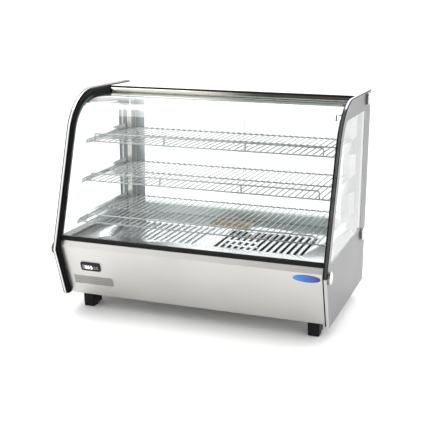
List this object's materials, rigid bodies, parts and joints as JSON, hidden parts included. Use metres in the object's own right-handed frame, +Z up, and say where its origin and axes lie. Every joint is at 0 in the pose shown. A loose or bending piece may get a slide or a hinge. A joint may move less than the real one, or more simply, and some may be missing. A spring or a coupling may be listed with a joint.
{
  "type": "hot food display case",
  "caption": "Counter-top heated display case with a curved front glass, glazed sides, wire shelves and sliding doors at the back.",
  "frame": {"origin": "on the floor under the middle of the case", "axes": "+X right-hand end seen from the customer's side, -Y customer's side, +Y server's side with the doors, +Z up"},
  "size_m": [0.882, 0.56, 0.687],
  "materials": {
    "brushed_steel": "satin",
    "polished_steel": "polished",
    "black_rubber": "matt",
    "black_trim": "semi-matt",
    "clear_glass": "clear",
    "black_plastic": "satin",
    "display_lens": "gloss",
    "key_plastic": "satin",
    "rocker_plastic": "gloss",
    "chrome_wire": "bright",
    "bracket_steel": "satin",
    "lamp_white": "opal",
    "blue_badge": "gloss",
    "fan_metal": "matt",
    "heater_metal": "oxidised"
  },
  "bodies": {
    "cabinet": {"base_pan": "brushed_steel", "front_panel": "brushed_steel", "rear_panel": "brushed_steel", "deck_plate": "brushed_steel", "top_panel": "brushed_steel", "side_panel_left": "brushed_steel", "side_panel_right": "brushed_steel", "rear_post_left": "brushed_steel", "rear_post_right": "brushed_steel", "rear_sill": "brushed_steel", "rear_header": "brushed_steel", "glass_top_rail": "polished_steel", "side_knob_front_left": "polished_steel", "side_knob_front_right": "polished_steel", "side_knob_rear_lower_left": "polished_steel", "side_knob_rear_lower_right": "polished_steel", "side_knob_rear_upper_left": "polished_steel", "side_knob_rear_upper_right": "polished_steel", "front_glass_seal": "black_rubber", "foot_front_left": "black_rubber", "foot_front_right": "black_rubber", "foot_rear_left": "black_rubber", "foot_rear_right": "black_rubber", "side_trim_left": "black_trim", "side_trim_right": "black_trim", "front_glass": "clear_glass", "side_glass_left": "clear_glass", "side_glass_right": "clear_glass", "controller_body": "black_plastic", "switch_plate": "black_plastic", "cable_gland": "black_plastic", "controller_lens": "display_lens", "shelf_upper": "chrome_wire", "shelf_middle": "chrome_wire", "shelf_lower": "chrome_wire", "bracket_upper_left": "bracket_steel", "bracket_upper_right": "bracket_steel", "bracket_middle_left": "bracket_steel", "bracket_middle_right": "bracket_steel", "bracket_lower_left": "bracket_steel", "bracket_lower_right": "bracket_steel", "lamp_tube": "lamp_white", "lamp_hanger_left": "bracket_steel", "lamp_hanger_right": "bracket_steel", "badge": "blue_badge", "fan_motor": "fan_metal", "heater_element": "heater_metal"},
    "left_door": {"door_glass_left": "clear_glass", "door_handle_left": "black_plastic"},
    "right_door": {"door_glass_right": "clear_glass", "door_handle_right": "black_plastic"},
    "fan_rotor": {"fan_impeller": "fan_metal"},
    "power_switch": {"power_rocker": "rocker_plastic"},
    "light_switch": {"light_rocker": "rocker_plastic"},
    "set_key": {"controller_key_set": "key_plastic"},
    "up_key": {"controller_key_up": "key_plastic"},
    "lift_out_pan": {"water_pan": "brushed_steel"}
  },
  "joints": [
    {"name": "left_door_slide", "type": "slide", "parent": "cabinet", "child": "left_door", "axis": [1, 0, 0], "range_m": [0, 0.39]},
    {"name": "right_door_slide", "type": "slide", "parent": "cabinet", "child": "right_door", "axis": [1, 0, 0], "range_m": [-0.39, 0]},
    {"name": "fan_spin", "type": "hinge", "parent": "cabinet", "child": "fan_rotor", "pos_m": [0, 0.01, 0.112], "axis": [0, 0, 1], "continuous": true},
    {"name": "power_rocker_tilt", "type": "hinge", "parent": "cabinet", "child": "power_switch", "pos_m": [0.287, 0.262, 0.14], "axis": [1, 0, 0], "range_deg": [0, 14]},
    {"name": "light_rocker_tilt", "type": "hinge", "parent": "cabinet", "child": "light_switch", "pos_m": [0.313, 0.262, 0.14], "axis": [1, 0, 0], "range_deg": [0, 14]},
    {"name": "set_key_press", "type": "slide", "parent": "cabinet", "child": "set_key", "axis": [0, 0.9388, 0.3445], "range_m": [0, 0.0012], "stiffness_N_per_m": 600},
    {"name": "up_key_press", "type": "slide", "parent": "cabinet", "child": "up_key", "axis": [0, 0.9388, 0.3445], "range_m": [0, 0.0012], "stiffness_N_per_m": 600},
    {"name": "water_pan_lift", "type": "slide", "parent": "cabinet", "child": "lift_out_pan", "axis": [0, 0, 1], "range_m": [0, 0.04]}
  ]
}
